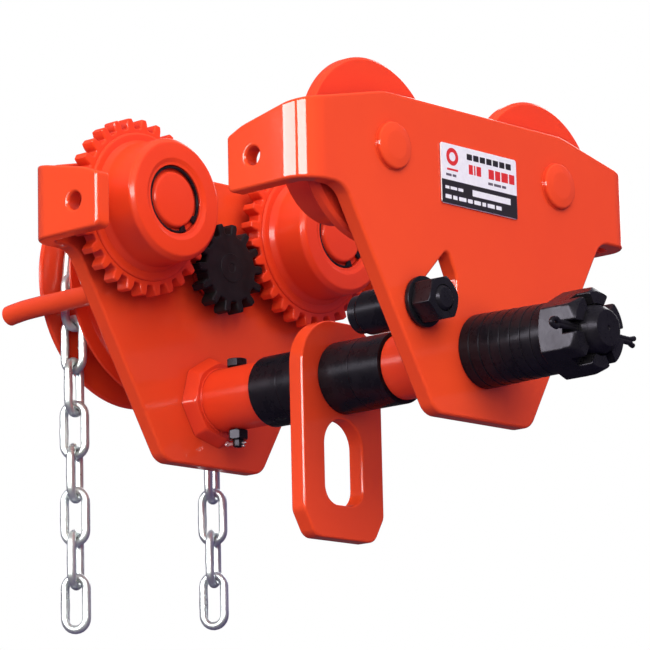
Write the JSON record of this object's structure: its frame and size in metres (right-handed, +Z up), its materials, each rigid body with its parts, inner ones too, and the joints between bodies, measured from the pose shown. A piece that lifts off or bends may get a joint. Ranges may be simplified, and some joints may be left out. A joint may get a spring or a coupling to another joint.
{
  "type": "beam trolley",
  "caption": "Hand-chain geared beam trolley: two flanged wheel pairs on bent side plates, joined by a spacer shaft that carries a swinging suspension plate.",
  "frame": {"origin": "the centre of the part's bounding box, which is 2.1 mm towards the castle nut from the middle between the side plates and 10.85 mm above the suspension shaft's axis", "axes": "+X along the suspension shaft towards the plain side plate and the castle nut, +Y along the beam, +Z up"},
  "size_m": [0.3818, 0.2724, 0.2866],
  "materials": {
    "red_paint": "gloss",
    "black_steel": "satin black oxide",
    "zinc": "bright zinc plate",
    "bearing_steel": "ground",
    "rating_plate": "printed, satin"
  },
  "bodies": {
    "root": {"side_plate_geared": "red_paint", "side_plate_plain": "red_paint", "spindle_boss_geared": "red_paint", "spindle_boss_plain": "red_paint", "suspension_shaft": "black_steel", "spacer_inner_1": "black_steel", "spacer_inner_2": "black_steel", "spacer_inner_3": "black_steel", "spacer_inner_4": "black_steel", "spacer_outer_1": "black_steel", "spacer_outer_2": "black_steel", "spacer_outer_3": "black_steel", "spacer_outer_4": "black_steel", "spacer_outer_5": "black_steel", "spacer_outer_6": "black_steel", "spacer_outer_7": "black_steel", "spacer_outer_8": "black_steel", "castle_nut": "black_steel", "castle_nut_cotter_pin": "black_steel", "lock_bolt": "black_steel", "lock_nut": "black_steel", "lock_cotter_pin": "zinc", "wheel_axle_geared_front": "red_paint", "wheel_axle_geared_rear": "red_paint", "wheel_axle_plain_front": "red_paint", "wheel_axle_plain_rear": "red_paint", "pinion_bush": "red_paint", "chain_guide_front": "red_paint", "chain_guide_rear": "red_paint", "chain_over_wheel": "zinc", "roller_bolt": "black_steel", "roller_washer": "black_steel", "roller_nut": "black_steel", "rating_plate": "rating_plate"},
    "wheel_geared_front": {"geared_wheel_front": "red_paint", "wheel_bearing_geared_front": "bearing_steel", "dust_cap_geared_front": "red_paint", "circlip_geared_front": "black_steel"},
    "wheel_geared_rear": {"geared_wheel_rear": "red_paint", "wheel_bearing_geared_rear": "bearing_steel", "dust_cap_geared_rear": "red_paint", "circlip_geared_rear": "black_steel"},
    "wheel_plain_front": {"plain_wheel_front": "red_paint", "wheel_bearing_plain_front": "bearing_steel", "dust_cap_plain_front": "red_paint", "circlip_plain_front": "black_steel"},
    "wheel_plain_rear": {"plain_wheel_rear": "red_paint", "wheel_bearing_plain_rear": "bearing_steel", "dust_cap_plain_rear": "red_paint", "circlip_plain_rear": "black_steel"},
    "drive": {"drive_pinion": "black_steel", "hand_chain_wheel": "red_paint", "hand_wheel_nut": "zinc", "hand_wheel_cotter_pin": "zinc"},
    "roller": {"tilt_roller": "black_steel"},
    "suspension": {"suspension_plate": "red_paint"},
    "chain_front": {"chain_fall_front": "zinc"},
    "chain_rear": {"chain_fall_rear": "zinc"}
  },
  "joints": [
    {"name": "drive_spin", "type": "hinge", "parent": "root", "child": "drive", "pos_m": [-0.1561, 0, 0.06596], "axis": [1, 0, 0], "continuous": true},
    {"name": "geared_wheel_front_spin", "type": "hinge", "parent": "root", "child": "wheel_geared_front", "pos_m": [-0.0761, -0.0689, 0.09155], "axis": [1, 0, 0], "continuous": true},
    {"name": "geared_wheel_rear_spin", "type": "hinge", "parent": "root", "child": "wheel_geared_rear", "pos_m": [-0.0761, 0.0689, 0.09155], "axis": [1, 0, 0], "continuous": true},
    {"name": "plain_wheel_front_spin", "type": "hinge", "parent": "root", "child": "wheel_plain_front", "pos_m": [0.0719, -0.0689, 0.09155], "axis": [1, 0, 0], "continuous": true},
    {"name": "plain_wheel_rear_spin", "type": "hinge", "parent": "root", "child": "wheel_plain_rear", "pos_m": [0.0719, 0.0689, 0.09155], "axis": [1, 0, 0], "continuous": true},
    {"name": "tilt_roller_spin", "type": "hinge", "parent": "root", "child": "roller", "pos_m": [0.0799, -0.049, 0.00965], "axis": [1, 0, 0], "continuous": true},
    {"name": "suspension_swing", "type": "hinge", "parent": "root", "child": "suspension", "pos_m": [-0.0035, 0, -0.01085], "axis": [1, 0, 0], "range_deg": [-40, 40]},
    {"name": "chain_front_swing", "type": "hinge", "parent": "root", "child": "chain_front", "pos_m": [-0.1561, -0.05596, 0.061], "axis": [1, 0, 0], "range_deg": [-8, 8]},
    {"name": "chain_rear_swing", "type": "hinge", "parent": "root", "child": "chain_rear", "pos_m": [-0.1561, 0.05596, 0.07091], "axis": [1, 0, 0], "range_deg": [-8, 8]}
  ],
  "couplings": [
    {"joint": "geared_wheel_front_spin", "follows": "drive_spin", "ratio": -0.5},
    {"joint": "geared_wheel_rear_spin", "follows": "drive_spin", "ratio": -0.5}
  ]
}
